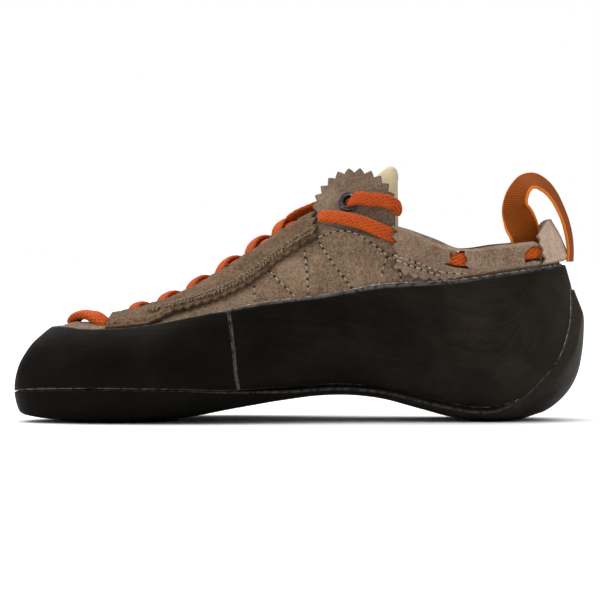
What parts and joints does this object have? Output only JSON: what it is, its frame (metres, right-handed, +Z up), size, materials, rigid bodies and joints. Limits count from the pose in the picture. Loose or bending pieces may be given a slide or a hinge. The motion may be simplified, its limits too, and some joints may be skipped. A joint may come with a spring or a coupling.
{
  "type": "climbing shoe",
  "caption": "Low-cut laced rock climbing shoe with a rubber rand, a down-turned sole that wraps up the heel, suede upper, cotton tongue and heel pull loop; right foot.",
  "frame": {"origin": "centre of the sole's flat spot under the heel, on the floor", "axes": "-X towards the toe, -Y towards the medial side, +Z up"},
  "size_m": [0.2461, 0.09, 0.1095],
  "materials": {
    "suede": "napped",
    "suede_stay": "napped",
    "suede_band": "napped",
    "suede_cap": "napped",
    "rand_rubber": "matt",
    "sole_rubber": "matt",
    "insole": "matt",
    "cotton": "matt",
    "lace": "matt",
    "webbing": "matt",
    "gunmetal": "satin"
  },
  "bodies": {
    "root": {"upper": "suede", "outsole": "sole_rubber", "rand_toe": "rand_rubber", "rand_heel": "rand_rubber", "insole": "insole", "tongue": "cotton", "heel_cap": "suede_cap", "lace_collar": "lace", "lace_toe": "lace", "pull_loop": "webbing", "lace_cross_1": "lace", "lace_cross_2": "lace", "lace_cross_3": "lace", "lace_cross_4": "lace", "lace_cross_5": "lace", "lace_cross_6": "lace", "eyestay_medial": "suede_stay", "tab_medial": "suede", "eyelet_medial": "gunmetal", "collar_medial": "suede_band", "lace_end_medial": "lace", "eyestay_lateral": "suede_stay", "tab_lateral": "suede", "eyelet_lateral": "gunmetal", "collar_lateral": "suede_band", "lace_end_lateral": "lace"}
  },
  "joints": []
}
